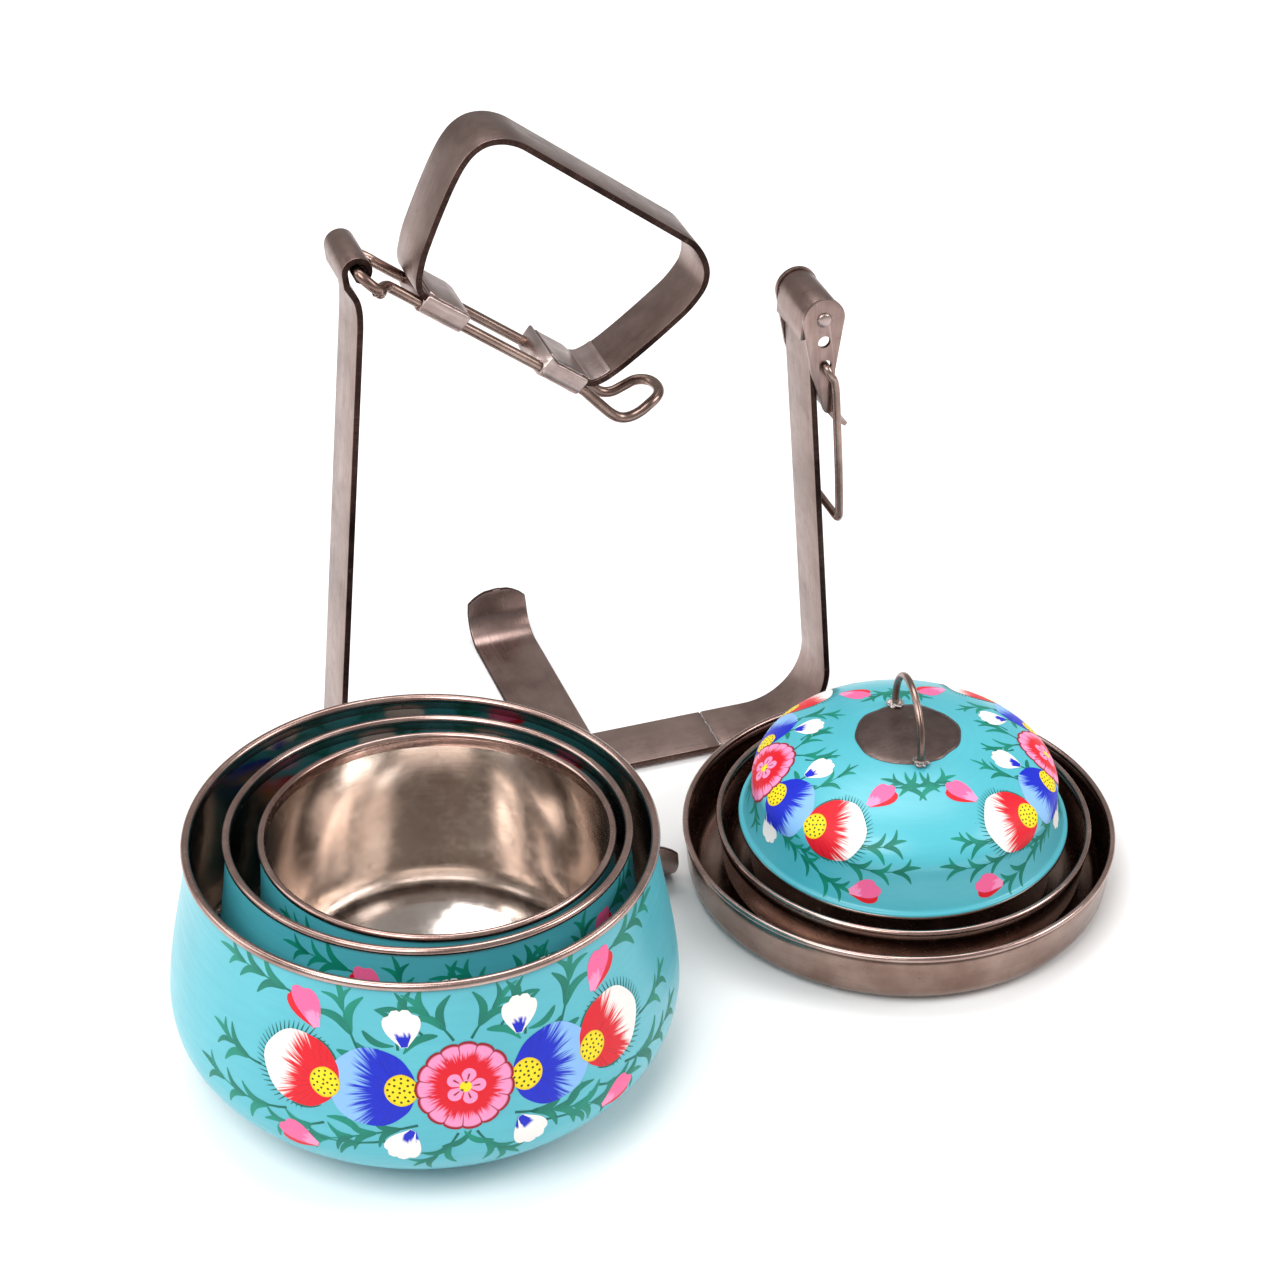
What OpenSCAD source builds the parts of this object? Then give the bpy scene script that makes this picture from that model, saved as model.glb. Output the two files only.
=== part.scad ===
// Three-tier tiffin carrier set, taken apart: an empty strap carrier with its
// swinging closing wire, carrying handle and over-centre latch, three nested
// belly bowls, and three nested lids. Millimetres, +Z up, floor at z = 0.
// Origin: on the floor under the crossing of the two base straps.

/* [Carrier] */
// Width of the frame strap
strap_w = 25; // [22:0.5:26]
// Thickness of the frame strap
strap_t = 2.4; // [2:0.1:2.6]
// Thickness of the cross strap under the base
cross_t = 2; // [1.6:0.1:2.4]
// Height of the closing wire's eye on the tall upright
eye_h = 244.6; // [240:0.2:250]
// Height of the latch pin on the short upright
pin_h = 194.7; // [190:0.1:200]

/* [Closing wire and handle] */
// Droop of the closing wire below level, degrees
droop = 37.4; // [30:0.2:45]
// Wire radius
wire_r = 1.6; // [1.4:0.05:1.7]
// Closing wire radius
closing_r = 2.05; // [1.8:0.05:2.1]
// Height of the handle above the closing wire
handle_h = 70.3; // [60:0.5:76]

/* [Bowls] */
// Large bowl, radius at the outside of the rim
rim_l = 83; // [80:0.5:84]
// Large bowl, radius at the belly
belly_l = 90.8; // [87:0.2:92]
// Medium bowl, radius at the outside of the rim
rim_m = 71.3; // [70:0.1:72]
// Small bowl, radius at the outside of the rim
rim_s = 62.2; // [61:0.1:63]
// Sheet thickness of the bowls
sheet = 1.2; // [1:0.1:1.4]

/* [Lids] */
// Large lid, radius at the outside of the rim
lid_l = 82.5; // [80:0.5:83]
// Medium lid, radius at the outside of the rim
lid_m = 71.6; // [70:0.1:72.2]
// Dome lid, radius at the brim
lid_s = 63; // [62.6:0.1:63.6]
// Rise of the dome above its brim
dome_h = 39; // [37:0.5:42]

/* [Hidden] */
$fn = 96;

steel = [0.55, 0.47, 0.45];
shiny = [0.66, 0.6, 0.55];
paint = [0.45, 0.84, 0.92];

// ---- small path helpers -------------------------------------------------
function unit(v) = v / norm(v);
function left_of(v) = [-v[1], v[0]];
function joint_n(P, i) =
    let (a = i > 0 ? unit(P[i] - P[i - 1]) : unit(P[1] - P[0]),
         b = i < len(P) - 1 ? unit(P[i + 1] - P[i]) : a,
         m = unit(left_of(a) + left_of(b)))
    m / (m * left_of(b));
function offset_path(P, d) = [for (i = [0:len(P) - 1]) P[i] + d * joint_n(P, i)];
function reversed(P) = [for (i = [len(P) - 1:-1:0]) P[i]];
function arc_path(c, r, a0, a1, n) = [for (i = [0:n]) let (a = a0 + (a1 - a0) * i / n) c + r * [cos(a), sin(a)]];

module sheet_2d(P, t) polygon(concat(offset_path(P, t / 2), reversed(offset_path(P, -t / 2))));
// a profile in (X, Z), given width along Y
module along_y(w) translate([0, w / 2, 0]) rotate([90, 0, 0]) linear_extrude(w) children();
module strap(P, t, w) along_y(w) sheet_2d(P, t);
// a round bar between two points, and a chain of them with ball joints
module bar(p, q, r) {
    d = q - p;
    l = norm(d);
    translate(p) rotate([0, acos(d[2] / l), atan2(d[1], d[0])]) cylinder(r = r, h = l, $fn = 32);
}
module wire(P, r) {
    for (i = [0:len(P) - 2]) bar(P[i], P[i + 1], r);
    for (i = [1:len(P) - 2]) translate(P[i]) sphere(r = 1.04 * r, $fn = 32);
}
// a round tube through a closed ring of points, with n sides
function ring_at(p, d, r, n) =
    let (u = unit(cross(d, [0, 0, 1])), v = cross(u, d))
    [for (i = [0:n - 1]) p + r * (cos(360 * i / n) * u + sin(360 * i / n) * v)];
module closed_tube(P, r, n) {
    m = len(P);
    corners = [for (i = [0:m - 1]) each ring_at(P[i], unit(P[(i + 1) % m] - P[(i + m - 1) % m]), r, n)];
    sides = [for (i = [0:m - 1]) for (j = [0:n - 1])
        let (a = i * n + j, b = i * n + (j + 1) % n, c = (i + 1) % m * n + (j + 1) % n, d = (i + 1) % m * n + j)
        each [[a, b, c], [a, c, d]]];
    polyhedron(corners, sides);
}
// outline round two circles
module pear(c1, r1, c2, r2) {
    d = norm(c2 - c1);
    th = atan2(c2[1] - c1[1], c2[0] - c1[0]);
    b = acos((r1 - r2) / d);
    translate(c1) circle(r = r1);
    translate(c2) circle(r = r2);
    polygon([c1 + r1 * [cos(th + b), sin(th + b)], c2 + r2 * [cos(th + b), sin(th + b)],
             c2 + r2 * [cos(th - b), sin(th - b)], c1 + r1 * [cos(th - b), sin(th - b)]]);
}

// ---- carrier frame -------------------------------------------------------
base_z = cross_t + strap_t / 2;        // middle of the base strap
bend_r = 26.2;                         // bend between base and uprights, mid-strap
lean_l = 4.43;
lean_r = 4.82;
foot_l = 75.35;                        // where the base ends and the bend starts
foot_r = 75.1;
seam_x = 56;
eye_c = [-87.05, eye_h];
eye_ri = 3.3;
eye_ro = eye_ri + strap_t;
pin_c = [92.3, pin_h];
barrel_r = 7.9;
pin_r = 2.5;

c_l = [-foot_l, base_z + bend_r];
c_r = [foot_r, base_z + bend_r];
p_l = c_l + bend_r * [cos(180 - lean_l), sin(180 - lean_l)];
p_r = c_r + bend_r * [cos(lean_r), sin(lean_r)];
function up_l(z) = [p_l[0] + (z - p_l[1]) * tan(lean_l), z];
function up_r(z) = [p_r[0] - (z - p_r[1]) * tan(lean_r), z];

module eye_ring() difference() {
    along_y(strap_w) translate(eye_c) difference() {
        circle(r = eye_ro, $fn = 64);
        polygon([[0, 0], 20 * [cos(-62), sin(-62)], 20 * [cos(-115), sin(-115)], 20 * [cos(-150), sin(-150)]]);
    }
}
module frame_long() color(steel) difference() {
    union() {
        strap(concat([[seam_x - 0.4, base_z]], arc_path(c_l, bend_r, 270, 180 - lean_l, 14),
                     [up_l(222), up_l(228) + [-0.4, 0], up_l(233) + [-1.6, 0], [eye_c[0] - 3.9, eye_h - 5.6],
                      eye_c + (eye_ri + strap_t / 2) * [cos(190), sin(190)]]), strap_t, strap_w);
        eye_ring();
    }
    along_y(strap_w + 2) translate(eye_c) circle(r = eye_ri, $fn = 64);
}
module frame_short() color(steel) difference() {
    union() {
        strap(concat([[seam_x + 0.4, base_z]], arc_path(c_r, bend_r, -90, lean_r, 14),
                     [up_r(pin_h - 6), up_r(pin_h - 2)]), strap_t, strap_w);
        along_y(strap_w) translate(pin_c) circle(r = barrel_r);
        // tail of the roll, lapped down over the inner face
        along_y(strap_w) polygon([[pin_c[0] - barrel_r, pin_h], [pin_c[0] - barrel_r + 0.3, pin_h - 6.8],
                                  [up_r(pin_h - 6.8)[0], pin_h - 6.8], [pin_c[0], pin_h]]);
    }
    along_y(strap_w + 2) translate(pin_c) circle(r = pin_r + 0.06, $fn = 64);
}
module frame_weld() color(steel)
    translate([seam_x, 0, base_z]) cube([0.8, strap_w, strap_t + 0.5], center = true);

// cross strap: flat in the middle, both ends turned up into arched tabs
tab_far = 101.5;
tab_near = -87;
cross_w = 26;
cross_shift = -3;
tab_r = 13;
function cross_path() = concat(
    [[tab_near, 22], [tab_near, cross_t / 2 + tab_r]],
    arc_path([tab_near + tab_r, cross_t / 2 + tab_r], tab_r, 180 + 11, 270, 8),
    arc_path([tab_far - tab_r, cross_t / 2 + tab_r], tab_r, -90, -11, 8),
    [[tab_far, cross_t / 2 + tab_r], [tab_far + 0.6, 22]]);
module cross_strap() color(steel) translate([cross_shift, 0, 0]) intersection() {
    rotate([90, 0, 90]) linear_extrude(cross_w, center = true) sheet_2d(cross_path(), cross_t);
    // arched ends
    union() {
        translate([-cross_w, -150, -1]) cube([2 * cross_w, 300, 13]);
        rotate([90, 0, 0]) translate([0, 4, -150]) cylinder(r = 17.4, h = 300);
    }
}
module cross_weld() color(steel)
    for (s = [-1, 1]) for (u = [-1, 1])
        translate([cross_shift + u * 7, s * (strap_w / 2 + 0.9), cross_t + 0.45])
            cube([5, 1.8, 0.9], center = true);

// ---- latch ---------------------------------------------------------------
cheek_t = 1.6;
cheek_in = strap_w / 2 + 0.45;
hole_mid = [92.75, pin_h - 9.6];
hole_low = [93.6, pin_h - 20.1];
hook_r = 2.5;
module latch_lever() color(steel) {
    for (s = [-1, 1]) translate([0, s * (cheek_in + cheek_t / 2), 0]) along_y(cheek_t) difference() {
        union() {
            pear(pin_c, 8.4, [92.9, pin_h - 22.2], 4.8);
            pear([92.9, pin_h - 22.2], 4.8, [95.9, pin_h - 38.7], 2.4);
        }
        translate(pin_c) circle(r = pin_r, $fn = 64);
        translate(hole_mid) circle(r = hook_r, $fn = 64);
        translate(hole_low) circle(r = hook_r, $fn = 64);
    }
    // web between the cheeks, and the thumb tab
    along_y(2 * cheek_in) sheet_2d([[96.9, pin_h - 23.5], [96.6, pin_h - 31], [97.2, pin_h - 40.5]], cheek_t);
    along_y(12)
        sheet_2d([[97.2, pin_h - 40.5], [99, pin_h - 45], [102.4, pin_h - 49.5], [107.2, pin_h - 53]], cheek_t);
}
module latch_pin() color(shiny) difference() {
    union() {
        along_y(2 * (cheek_in + cheek_t)) translate(pin_c) circle(r = pin_r, $fn = 64);
        for (s = [-1, 1]) translate([0, s * (cheek_in + cheek_t + 0.5), 0]) along_y(1)
            translate(pin_c) circle(r = 3.1, $fn = 64);
    }
}
bail_y = 17.2;
module bail() color(steel) wire([
    [hole_low[0], -11.2, hole_low[1]], [hole_low[0], -bail_y + 1.4, hole_low[1]],
    [hole_low[0] + 0.9, -bail_y, hole_low[1] - 1.8], [96.9, -bail_y, pin_h - 28],
    [101, -bail_y, 109], [101.3, -bail_y + 0.9, 106.3], [101.4, -bail_y + 3.2, 105.4],
    [101.4, bail_y - 3.2, 105.4], [101.3, bail_y - 0.9, 106.3], [101, bail_y, 109],
    [96.9, bail_y, pin_h - 28], [hole_low[0] + 0.9, bail_y, hole_low[1] - 1.8],
    [hole_low[0], bail_y - 1.4, hole_low[1]], [hole_low[0], 11.2, hole_low[1]]], wire_r);

// ---- closing wire and handle, drawn along s (out from the eye) and n (up) --
wy = 10.1;
wn = 0.3;
module swing() translate([eye_c[0], 0, eye_h]) rotate([0, droop, 0]) children();
// half of the loop, from inside the eye to the tip of the hook
half_loop = [
    [0, 6, 0], [0, 12.2, 0], [1.8, 14.6, -0.2], [4.8, 15.7, -0.6], [7.8, 15.7, -1], [10.2, 14.4, -0.9],
    [12.6, 11.8, -0.1], [16.4, wy, wn], [50, wy, wn], [78, wy, wn], [107, wy, wn], [112, wy, -0.7], [117, wy, -1.9],
    [123, wy, -2.7], [127.4, wy, -2.5], [130.8, wy, -0.5], [133.2, wy, 3.2], [135, wy - 0.8, 7.2],
    [137.4, wy - 2.8, 10.4], [139.6, wy - 6, 12.2]];
function other_side(P) = [for (p = reversed(P)) [p[0], -p[1], p[2]]];
module closing_wire() color(steel) swing() closed_tube(concat(half_loop, other_side(half_loop)), closing_r, 12);
// middle of the handle strap, foot to grip to foot, both feet lying on the wires
foot_n = wn + closing_r + 0.05 + strap_t / 2;
grip_n = handle_h - strap_t / 2;
handle_path = [
    [45, foot_n], [28.6, foot_n], [25.2, foot_n + 1], [22.4, 7.6], [18.4, 16], [14.6, 29.6], [11.4, 43],
    [10.1, 51.5], [10.3, 57.8], [12.7, 63.2], [17.6, grip_n - 2], [24, grip_n],
    [108, grip_n], [114.4, grip_n - 2.6], [119.3, 62.8], [122.2, 57.2], [122.3, 48], [119.7, 37],
    [116.6, 25.4], [113.4, 15], [110.8, 8.6], [108, foot_n + 1], [104.8, foot_n], [88, foot_n]];
module handle_strap() color(steel) swing() strap(handle_path, strap_t, strap_w);
// folded sheet sleeve round both wires and one foot
clip_t = 0.9;
clip_gap = 0.05;
module clip_2d(o) {
    for (s = [-1, 1]) translate([s * wy, 0]) circle(r = closing_r + o, $fn = 48);
    top = closing_r + strap_t + 0.05 + o;
    side = strap_w / 2 + o;
    polygon([[-wy, -closing_r - o], [wy, -closing_r - o], [wy + closing_r + o, 0], [side, closing_r],
             [side, top], [-side, top], [-side, closing_r], [-wy - closing_r - o, 0]]);
}
module clip(s0, s1) color(shiny) swing() translate([s0, 0, wn]) rotate([90, 0, 90])
    linear_extrude(s1 - s0) difference() {
        clip_2d(clip_gap + clip_t);
        clip_2d(clip_gap);
    }
module clip_left() clip(29, 48);
module clip_right() clip(85.8, 104.5);

// ---- bowls ---------------------------------------------------------------
// middle of the sheet, from the axis along the stepped floor and up the belly
// wall to the rim
function wall_r(z, rim, belly, base, h, zb) = z < zb
    ? base + (belly - base) * (1 - pow(1 - z / zb, 2.5))
    : let (u = (z - zb) / (h - zb)) rim + (belly - rim) * (0.3 * (1 + cos(180 * u)) + 0.4 * (1 - u));
function bowl_path(rim, belly, base, h, zb) = concat(
    [[0, sheet / 2], [base - 14, sheet / 2], [base - 12.6, sheet / 2 + 1.4], [base - 5, sheet / 2 + 1.4],
     [base - 3.6, sheet / 2]],
    [for (i = [0:8]) let (z = zb * pow(i / 8, 1.4)) [wall_r(z, rim, belly, base, h, zb), z + sheet / 2 * (1 - i / 8)]],
    [for (i = [1:9]) let (z = zb + (h - zb) * i / 9) [wall_r(z, rim, belly, base, h, zb), z]]);
module bead(r, z, br) translate([0, 0, z]) rotate_extrude($fn = 128) translate([r, 0]) circle(r = br, $fn = 40);
module bowl(rim, belly, base, h, zb, br) difference() {
    rotate_extrude($fn = 128) sheet_2d(bowl_path(rim - br, belly - sheet / 2, base, h - br, zb), sheet);
    bead(rim - br, h - br, br);
}
// nested: the two inner bowls lean back a little on the floor of the next one
h_l = 94.3;
h_m = 90.3;
h_s = 86.8;
lean_turn = -18.95;
module at_large() translate([-105.8, -139.8, 0]) children();
module at_medium() translate([-104.4, -143.3, 5.3]) rotate([0, 0, lean_turn]) rotate([-2.5, 0, 0]) children();
module at_small() translate([-101.9, -146, 8.7]) rotate([0, 0, lean_turn]) rotate([-2.6, 0, 0]) children();

module bowl_large() color(paint) at_large() bowl(rim_l, belly_l, 61, h_l, 33, 1.6);
module rim_large() color(shiny) at_large() bead(rim_l - 1.6, h_l - 1.6, 1.6);
module bowl_medium() color(paint) at_medium() bowl(rim_m, 75.6, 52, h_m, 33, 1.5);
module rim_medium() color(shiny) at_medium() bead(rim_m - 1.5, h_m - 1.5, 1.5);
module bowl_small() color(paint) at_small() bowl(rim_s, 63.8, 43, h_s, 32, 1.4);
module rim_small() color(shiny) at_small() bead(rim_s - 1.4, h_s - 1.4, 1.4);

// ---- lids ----------------------------------------------------------------
lid_t = 1.2;
module plate(rim, floor_r, corner, h, br) difference() {
    rotate_extrude($fn = 128) sheet_2d([
        [0, lid_t / 2], [floor_r, lid_t / 2], [floor_r + 0.45 * corner, 1], [floor_r + 0.74 * corner, 2],
        [floor_r + 0.91 * corner, 3.9], [floor_r + corner, 6.4], [rim - br, h - br]], lid_t);
    bead(rim - br, h - br, br);
}
module at_plate_l() translate([92.8, -104.9, 0]) children();
module at_plate_m() translate([95.3, -103.6, 1.6]) children();
module at_dome() translate([95.2, -103.2, 3.2]) children();
module plate_large() color(shiny) at_plate_l() plate(lid_l, 66, 13.8, 24, 1.2);
module plate_rim_large() color(shiny) at_plate_l() bead(lid_l - 1.2, 24 - 1.2, 1.2);
module plate_medium() color(shiny) at_plate_m() plate(lid_m, 57.6, 10.8, 24, 1.15);
module plate_rim_medium() color(shiny) at_plate_m() bead(lid_m - 1.15, 24 - 1.15, 1.15);

skirt_h = 21.5;
// the wall draws in to a shoulder, and the crown above it is half an ellipse
shoulder_r = 57.6;
shoulder_z = skirt_h + 17.1;
function dome_path() = concat(
    [[0, skirt_h + dome_h], [2, skirt_h + dome_h]],
    [for (i = [1:12]) let (a = 90 - 90 * i / 12) [shoulder_r * cos(a), crown_z(shoulder_r * cos(a))]],
    [for (i = [1:5]) let (d = 15.3 * i / 5) [shoulder_r + 0.0138 * d * d, shoulder_z - d]],
    [[lid_s - 1, skirt_h + 0.2]]);
function crown_z(r) = shoulder_z + (skirt_h + dome_h - shoulder_z) * sqrt(max(0, 1 - pow(r / shoulder_r, 2)));
module dome() color(paint) at_dome() {
    difference() {
        rotate_extrude($fn = 128) sheet_2d(dome_path(), lid_t);
        bead(lid_s - 0.9, skirt_h, 0.9);
        translate([0, 0, skirt_h - 2]) cylinder(r = lid_s + 1, h = 2.32, $fn = 128);
    }
}
// rolled hem of the brim with the plug skirt that enters the small bowl
module dome_brim() color(shiny) at_dome() {
    bead(lid_s - 0.9, skirt_h, 0.9);
    translate([0, 0, skirt_h - 0.7]) difference() {
        cylinder(r = lid_s - 1.2, h = 1, $fn = 128);
        translate([0, 0, -1]) cylinder(r = 56.4, h = 3, $fn = 128);
    }
    difference() {
        cylinder(r = 57.4, h = skirt_h, $fn = 128);
        translate([0, 0, -1]) cylinder(r = 56.4, h = skirt_h + 3, $fn = 128);
    }
}
// bare metal cap under the ring, following the crown
boss_r = 20.5;
module dome_boss() color(shiny) at_dome() rotate_extrude($fn = 128)
    polygon(concat([for (i = [0:8]) [boss_r * i / 8, crown_z(boss_r * i / 8) + lid_t / 2 + 0.05]],
                   [for (i = [8:-1:0]) [boss_r * i / 8, crown_z(boss_r * i / 8) + lid_t / 2 + 0.85]]));
// wire ring standing across the cap on two round feet
ring_foot = 19.2;
ring_rise = 21.3;
foot_w = 2.6;
ring_r = (pow(ring_foot, 2) + pow(ring_rise, 2)) / (2 * ring_rise);
ring_a = asin((ring_r - ring_rise) / ring_r);
foot_z = crown_z(ring_foot - foot_w) + lid_t / 2 + 0.95;
module ring_handle() color(steel) at_dome() rotate([0, 0, -99.2]) {
    translate([0, 0, foot_z + 0.8 + ring_rise - ring_r]) rotate([90, 0, 0]) rotate([0, 0, ring_a])
        rotate_extrude(angle = 180 - 2 * ring_a, $fn = 96) translate([ring_r, 0]) circle(r = 1.4, $fn = 40);
    for (s = [-1, 1])
        translate([s * ring_foot, 0, foot_z]) cylinder(r = foot_w, h = 1.6);
}

frame_long();
frame_short();
frame_weld();
cross_strap();
cross_weld();
latch_lever();
latch_pin();
bail();
closing_wire();
handle_strap();
clip_left();
clip_right();
bowl_large();
rim_large();
bowl_medium();
rim_medium();
bowl_small();
rim_small();
plate_large();
plate_rim_large();
plate_medium();
plate_rim_medium();
dome();
dome_brim();
dome_boss();
ring_handle();
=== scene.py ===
"""A tiffin carrier taken apart: strap carrier, three nested painted bowls and three nested lids."""

import math
import random

import bpy
from mathutils import Matrix, Vector, noise


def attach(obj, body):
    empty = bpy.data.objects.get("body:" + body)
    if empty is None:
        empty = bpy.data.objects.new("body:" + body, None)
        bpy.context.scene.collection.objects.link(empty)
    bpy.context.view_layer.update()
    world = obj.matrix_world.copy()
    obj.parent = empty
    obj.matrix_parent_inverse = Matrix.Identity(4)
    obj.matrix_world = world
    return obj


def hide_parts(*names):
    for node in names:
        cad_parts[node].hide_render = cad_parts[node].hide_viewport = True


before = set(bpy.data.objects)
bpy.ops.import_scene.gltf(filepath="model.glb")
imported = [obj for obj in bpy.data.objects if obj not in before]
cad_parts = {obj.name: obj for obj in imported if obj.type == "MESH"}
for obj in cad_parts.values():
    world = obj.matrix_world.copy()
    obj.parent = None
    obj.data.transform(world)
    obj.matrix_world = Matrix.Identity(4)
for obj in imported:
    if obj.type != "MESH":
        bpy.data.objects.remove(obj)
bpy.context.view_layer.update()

MM = 0.001
STRAP_W = 25
STRAP_T = 2.4
VIEW_TURN = 18.95  # degrees that the camera stands off the frame's own front
SHEET_HALF = 0.58  # half the thickness of a lid's sheet
dice = random.Random(11)


def sin(d):
    return math.sin(math.radians(d))


def cos(d):
    return math.cos(math.radians(d))


# ---- materials -----------------------------------------------------------
def rgb(r, g, b):
    """An everyday 0-255 colour as linear light."""
    return tuple(
        (c / 255 / 12.92) if c <= 10 else ((c / 255 + 0.055) / 1.055) ** 2.4
        for c in (r, g, b)
    )


def node(nt, kind, **settings):
    n = nt.nodes.new("ShaderNode" + kind)
    for k, v in settings.items():
        if hasattr(n, k):
            setattr(n, k, v)
        else:
            n.inputs[k.replace("_", " ")].default_value = v
    return n


def join(nt, a, b):
    nt.links.new(a, b)


def noise_of(nt, coord, scale, detail=4.0, rough=0.6, stretch=(1, 1, 1)):
    m = node(nt, "Mapping")
    m.inputs["Scale"].default_value = stretch
    join(nt, coord, m.inputs["Vector"])
    n = node(nt, "TexNoise", Scale=scale, Detail=detail, Roughness=rough)
    join(nt, m.outputs[0], n.inputs["Vector"])
    return n.outputs["Fac"]


def span(nt, value, lo, hi, out_lo, out_hi):
    r = node(nt, "MapRange")
    for i, v in enumerate((lo, hi, out_lo, out_hi)):
        r.inputs[i + 1].default_value = v
    join(nt, value, r.inputs[0])
    return r.outputs[0]


def mixed(nt, fac, a, b):
    """Mixes colours a and b, each a plain colour or a socket."""
    m = node(nt, "Mix", data_type="RGBA")
    join(nt, fac, m.inputs["Factor"])
    for s, c in ((m.inputs[6], a), (m.inputs[7], b)):
        if isinstance(c, tuple):
            s.default_value = (*c, 1)
        else:
            join(nt, c, s)
    return m.outputs[2]


def bumped(nt, height, strength, distance):
    b = node(nt, "Bump", Strength=strength, Distance=distance)
    join(nt, height, b.inputs["Height"])
    return b.outputs[0]


def new_material(name):
    m = bpy.data.materials.new(name)
    m.use_nodes = True
    return m, m.node_tree, m.node_tree.nodes["Principled BSDF"]


def steel(name, light, dark, rough, lines, line_bump, stain, worn=0.4):
    """Brushed or spun steel: fine lines along the sheet, cloudy tone, smudges and brighter worn edges."""
    m, nt, p = new_material(name)
    uv = node(nt, "UVMap", uv_map="sheet").outputs[0]
    ob = node(nt, "TexCoord").outputs["Object"]
    hair = noise_of(nt, uv, 1.0, 3, 0.7, (lines[0], lines[1], 1))
    cloud = noise_of(nt, ob, 38, 5, 0.6)
    smear = noise_of(nt, ob, 130, 6, 0.75)
    base = mixed(nt, span(nt, cloud, 0.35, 0.65, 0, 1), dark, light)
    base = mixed(nt, span(nt, hair, 0.35, 0.7, 0, 0.45), base, dark)
    base = mixed(nt, span(nt, smear, 0.6, 0.72, 0, 0.5), base, stain)
    edge = node(nt, "NewGeometry").outputs["Pointiness"]
    base = mixed(nt, span(nt, edge, 0.53, 0.62, 0, worn), base, tuple(min(1, c * 1.6) for c in light))
    join(nt, base, p.inputs["Base Color"])
    p.inputs["Metallic"].default_value = 1.0
    ro = node(nt, "Math", operation="ADD")
    join(nt, span(nt, hair, 0.3, 0.7, rough * 0.8, rough * 1.25), ro.inputs[0])
    join(nt, span(nt, smear, 0.45, 0.75, 0, 0.12), ro.inputs[1])
    join(nt, ro.outputs[0], p.inputs["Roughness"])
    join(nt, bumped(nt, hair, line_bump, 0.0002), p.inputs["Normal"])
    return m


def enamel(name, colour, deep):
    """Brushed-on enamel: faint brush marks, slow drift of tone and small chips of darker paint."""
    m, nt, p = new_material(name)
    ob = node(nt, "TexCoord").outputs["Object"]
    uv = node(nt, "UVMap", uv_map="sheet").outputs[0]
    drift = noise_of(nt, ob, 22, 3, 0.5)
    strokes = noise_of(nt, uv, 1.0, 4, 0.6, (45, 420, 1))
    specks = noise_of(nt, ob, 420, 2, 0.5)
    base = mixed(nt, span(nt, drift, 0.3, 0.7, 0, 0.55), colour, deep)
    base = mixed(nt, span(nt, strokes, 0.35, 0.75, 0, 0.28), base, deep)
    base = mixed(nt, span(nt, specks, 0.76, 0.8, 0, 0.5), base, tuple(c * 0.35 for c in deep))
    join(nt, base, p.inputs["Base Color"])
    join(nt, span(nt, strokes, 0.3, 0.7, 0.3, 0.42), p.inputs["Roughness"])
    p.inputs["Coat Weight"].default_value = 0.25
    p.inputs["Coat Roughness"].default_value = 0.2
    join(nt, bumped(nt, strokes, 0.25, 0.0003), p.inputs["Normal"])
    return m


def brushwork(name):
    """The painted flowers: colours laid on by the strokes themselves, with paint grain over them."""
    m, nt, p = new_material(name)
    ob = node(nt, "TexCoord").outputs["Object"]
    own = node(nt, "VertexColor", layer_name="stroke").outputs["Color"]
    grain = noise_of(nt, ob, 900, 3, 0.6)
    dark = node(nt, "Mix", data_type="RGBA", blend_type="MULTIPLY")
    dark.inputs["Factor"].default_value = 0.35
    join(nt, own, dark.inputs[6])
    tone = mixed(nt, grain, (0.72, 0.72, 0.72), (1.0, 1.0, 1.0))
    join(nt, tone, dark.inputs[7])
    join(nt, dark.outputs[2], p.inputs["Base Color"])
    join(nt, span(nt, grain, 0.3, 0.7, 0.4, 0.55), p.inputs["Roughness"])
    p.inputs["Specular IOR Level"].default_value = 0.35
    join(nt, bumped(nt, grain, 0.3, 0.0002), p.inputs["Normal"])
    return m


# each: light, dark, roughness, fineness of the lines, depth of the lines, stain
strap_steel = steel(
    "strap_steel", rgb(166, 143, 137), rgb(128, 106, 100), 0.3, (25, 1400), 0.16, rgb(96, 78, 74))
# the straps' thin cut edges get a near-black copy of the strap steel: painted shade on edges that the lamps would light
edge_shade_steel = steel(
    "edge_shade_steel", rgb(92, 70, 64), rgb(40, 28, 26), 0.5, (900, 900), 0.5, rgb(150, 128, 120))
wire_steel = steel(
    "wire_steel", rgb(176, 152, 142), rgb(120, 98, 90), 0.25, (90, 700), 0.1, rgb(84, 66, 60))
clip_steel = steel(
    "clip_steel", rgb(204, 186, 182), rgb(156, 136, 132), 0.32, (60, 900), 0.1, rgb(215, 208, 205))
rim_steel = steel(
    "rim_steel", rgb(196, 172, 164), rgb(150, 122, 114), 0.2, (20, 900), 0.06, rgb(120, 96, 88))
bowl_steel = steel(
    "bowl_steel", rgb(226, 217, 210), rgb(204, 192, 184), 0.12, (6, 1800), 0.06, rgb(150, 132, 122), 0.1)
plate_steel = steel(
    "plate_steel", rgb(160, 138, 128), rgb(124, 100, 90), 0.2, (8, 1500), 0.08, rgb(100, 80, 72), 0.2)
bare_steel = steel(
    "bare_steel", rgb(120, 104, 100), rgb(78, 64, 60), 0.4, (300, 500), 0.3, rgb(150, 138, 134), 0.2)
weld_steel = steel(
    "weld_steel", rgb(200, 192, 190), rgb(120, 108, 106), 0.42, (300, 300), 0.3, rgb(84, 72, 70))
turquoise = enamel("turquoise_enamel", rgb(82, 184, 198), rgb(62, 162, 178))
flowers = brushwork("flower_paint")


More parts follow.
